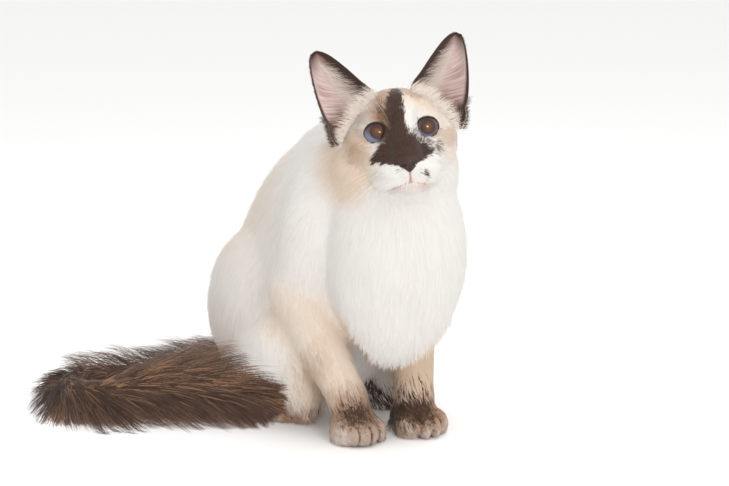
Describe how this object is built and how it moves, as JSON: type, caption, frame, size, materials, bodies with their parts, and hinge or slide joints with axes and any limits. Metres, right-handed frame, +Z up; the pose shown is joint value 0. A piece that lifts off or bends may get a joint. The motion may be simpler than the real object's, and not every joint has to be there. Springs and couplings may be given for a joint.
{
  "type": "balinese cat, seated life-size model",
  "caption": "Still life-size model of a seated young Balinese cat, head raised, large ears, plumed tail folded along the floor beside it.",
  "frame": {"origin": "middle of the bottom of the whole model's box, on the floor that the paws and tail rest on", "axes": "+Z up; the trunk faces -Y; +X is the cat's left; the head is turned about 27 degrees towards the cat's right and raised"},
  "size_m": [0.3084, 0.284, 0.3247],
  "materials": {
    "white_coat": "long silky coat, warm white",
    "cream_coat": "short silky coat, cream",
    "tan_points": "short coat, seal tortie points",
    "seal_coat": "long plumed coat, seal brown",
    "ear_skin": "thin skin, matt",
    "nose_leather": "moist, satin",
    "eye": "clear and wet"
  },
  "bodies": {
    "root": {"head": "cream_coat", "nose": "nose_leather", "ear_left": "ear_skin", "ear_right": "ear_skin", "eye_left": "eye", "eye_right": "eye", "neck": "white_coat", "chest": "white_coat", "loin": "white_coat", "upper_arm_left": "white_coat", "upper_arm_right": "white_coat", "forearm_left": "cream_coat", "forearm_right": "cream_coat", "forepaw_left": "tan_points", "forepaw_right": "tan_points", "thigh_left": "white_coat", "thigh_right": "white_coat", "hind_foot_left": "seal_coat", "hind_foot_right": "tan_points", "tail_root": "seal_coat", "tail_mid": "seal_coat", "tail_bend": "seal_coat", "tail_tip": "seal_coat"}
  },
  "joints": []
}
